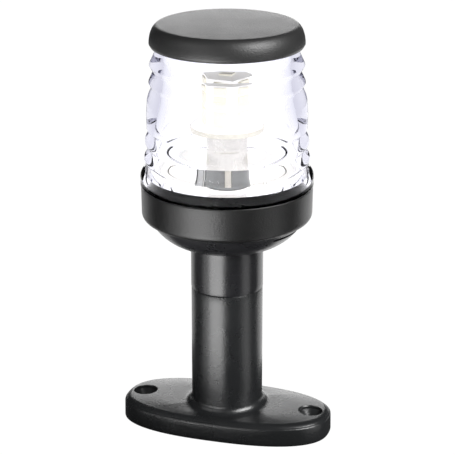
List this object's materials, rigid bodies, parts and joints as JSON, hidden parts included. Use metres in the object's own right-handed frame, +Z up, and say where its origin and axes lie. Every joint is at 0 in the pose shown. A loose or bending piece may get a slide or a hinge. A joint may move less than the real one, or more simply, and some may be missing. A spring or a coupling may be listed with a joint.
{
  "type": "navigation light",
  "caption": "White all-round boat navigation light: black oval foot and round pole, bowl housing with collar, thick clear ribbed lens, black cap and a bayonet LED lamp inside.",
  "frame": {"origin": "centre of the foot's underside, on the pole's axis", "axes": "+Z up the pole, +X along the foot's long axis"},
  "size_m": [0.0814, 0.0644, 0.1578],
  "materials": {
    "black_grained": "fine moulded grain",
    "black_satin": "satin",
    "black_collar": "fine moulded grain",
    "black_cap": "matte",
    "black_rubber": "matte",
    "grey_rubber": "matte",
    "white_rubber": "satin",
    "clear_lens": "polished clear moulding",
    "white_gloss": "gloss",
    "white_nylon": "satin",
    "brown_phenolic": "satin",
    "black_insulator": "gloss",
    "brass": "bright",
    "zinc_steel": "zinc plated",
    "spring_steel": "bright",
    "nickel_plate": "nickel plated",
    "solder": "dull",
    "red_insulation": "satin",
    "black_insulation": "satin",
    "cream_board": "satin",
    "white_board": "satin",
    "phosphor": "satin"
  },
  "bodies": {
    "base": {"foot_shank": "black_grained", "foot_gasket": "black_rubber", "cable_grommet": "black_rubber", "terminal_block": "white_nylon", "terminal_clamps": "brass", "terminal_screws": "zinc_steel", "lead_positive": "red_insulation", "lead_negative": "black_insulation", "neck_bowl": "black_satin", "spigot_oring": "black_rubber", "socket_bracket": "zinc_steel", "bracket_screws": "zinc_steel", "socket_shell": "nickel_plate", "socket_insulator": "brown_phenolic", "socket_terminals": "brass", "contact_springs": "spring_steel", "reflector_deck": "white_gloss"},
    "head": {"collar": "black_collar", "head_gasket": "grey_rubber", "lens_gasket": "white_rubber", "lens": "clear_lens", "cap": "black_cap"},
    "contacts": {"contact_plungers": "brass"},
    "lamp": {"lamp_cap": "nickel_plate", "lamp_pins": "nickel_plate", "lamp_base": "black_insulator", "lamp_pads": "solder", "lamp_disc": "cream_board", "lamp_tower": "white_board", "led_chips": "phosphor"}
  },
  "joints": [
    {"name": "head_lift", "type": "slide", "parent": "base", "child": "head", "axis": [0, 0, 1], "range_m": [0, 0.065]},
    {"name": "lamp_push", "type": "slide", "parent": "base", "child": "contacts", "axis": [0, 0, -1], "range_m": [0, 0.0015], "stiffness_N_per_m": 800, "springref_m": -0.004, "deforming": ["contact_springs"]},
    {"name": "lamp_twist", "type": "hinge", "parent": "contacts", "child": "lamp", "pos_m": [0, 0, 0.09], "axis": [0, 0, 1], "range_deg": [0, 20]}
  ]
}
